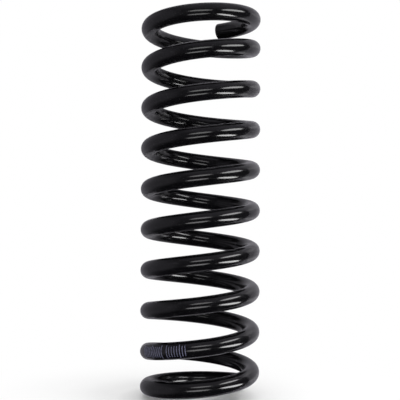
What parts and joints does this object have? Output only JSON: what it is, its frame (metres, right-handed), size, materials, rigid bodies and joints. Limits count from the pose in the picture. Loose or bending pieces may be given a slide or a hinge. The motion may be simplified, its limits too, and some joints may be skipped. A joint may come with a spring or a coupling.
{
  "type": "suspension spring",
  "caption": "Cylindrical compression spring coiled from round steel bar, closed and unground at both ends, that fits round a damper body between its spring seats.",
  "frame": {"origin": "on the coil's axis, in the seat plane under the lowest turn", "axes": "+Z along the coil's axis, from the lower seat to the upper one; -Y is the side that the picture shows"},
  "size_m": [0.085, 0.085, 0.275],
  "materials": {
    "gloss_black_coat": "gloss powder coat",
    "marking_ink": "matt printed ink"
  },
  "bodies": {
    "root": {"coil_spring": "gloss_black_coat"}
  },
  "joints": []
}
